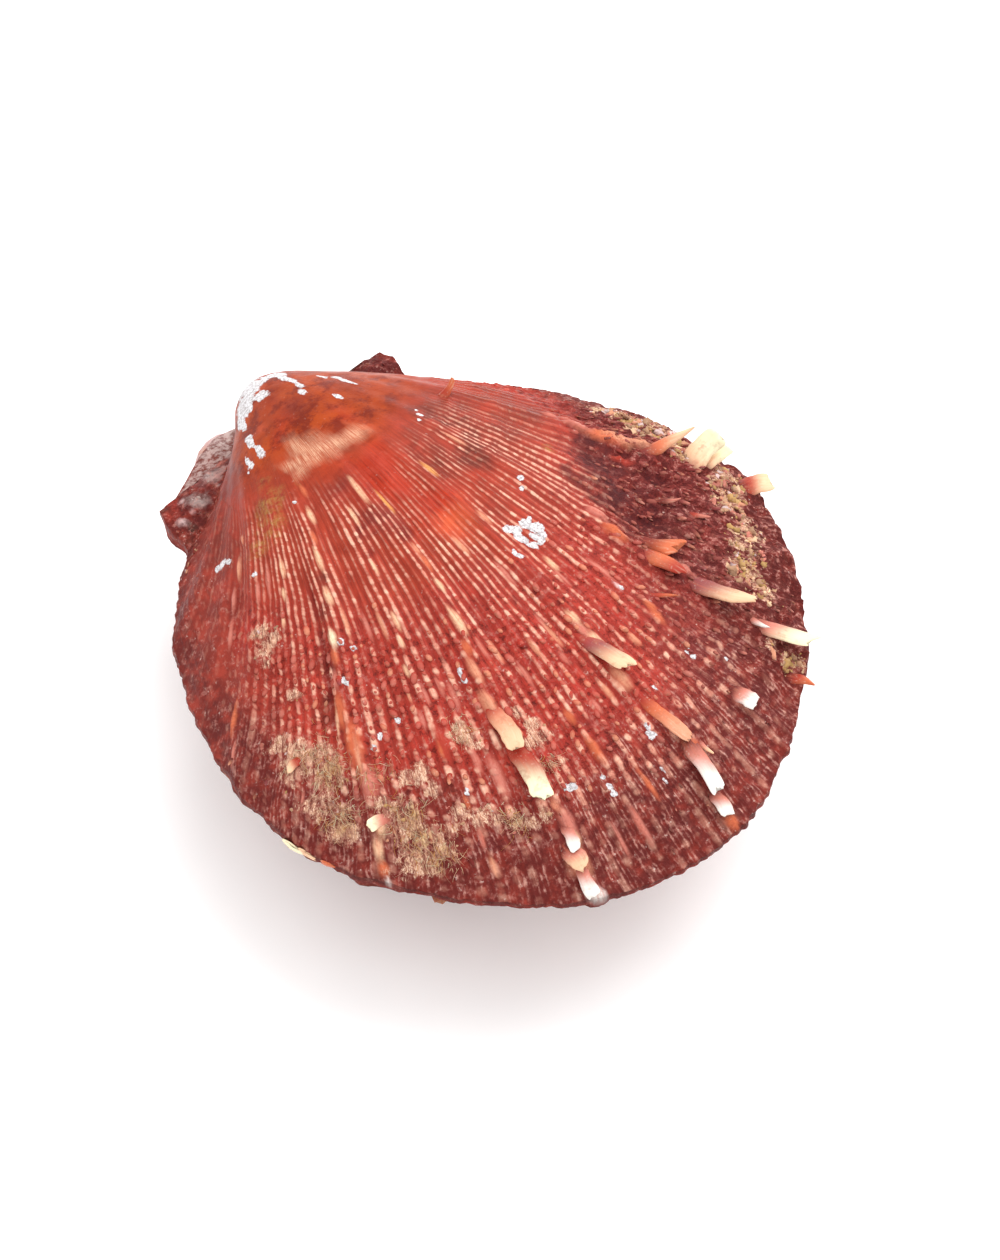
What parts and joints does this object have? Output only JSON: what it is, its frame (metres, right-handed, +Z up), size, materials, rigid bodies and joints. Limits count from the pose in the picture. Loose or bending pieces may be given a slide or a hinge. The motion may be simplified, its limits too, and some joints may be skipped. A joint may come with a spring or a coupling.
{
  "type": "spiny oyster shell",
  "caption": "Closed pair of spiny oyster valves, ribbed and spined, hollow, lying on the flat scar of the deeper lower valve.",
  "frame": {"origin": "centre of the bounding box's base, in the plane of the flat attachment scar that the shell lies on", "axes": "+Z up out of the upper valve, +Y from the free margin to the hinge, +X along the hinge from the left ear to the right ear as seen from above with the hinge at the back"},
  "size_m": [0.0992, 0.115, 0.0477],
  "materials": {
    "red_orange_shell": "worn natural shell, satin, red-orange at the beak to dark maroon at the margin",
    "maroon_shell": "rough natural shell, dull, maroon with chalky pale growths"
  },
  "bodies": {
    "root": {"upper_valve": "red_orange_shell", "lower_valve": "maroon_shell"}
  },
  "joints": []
}
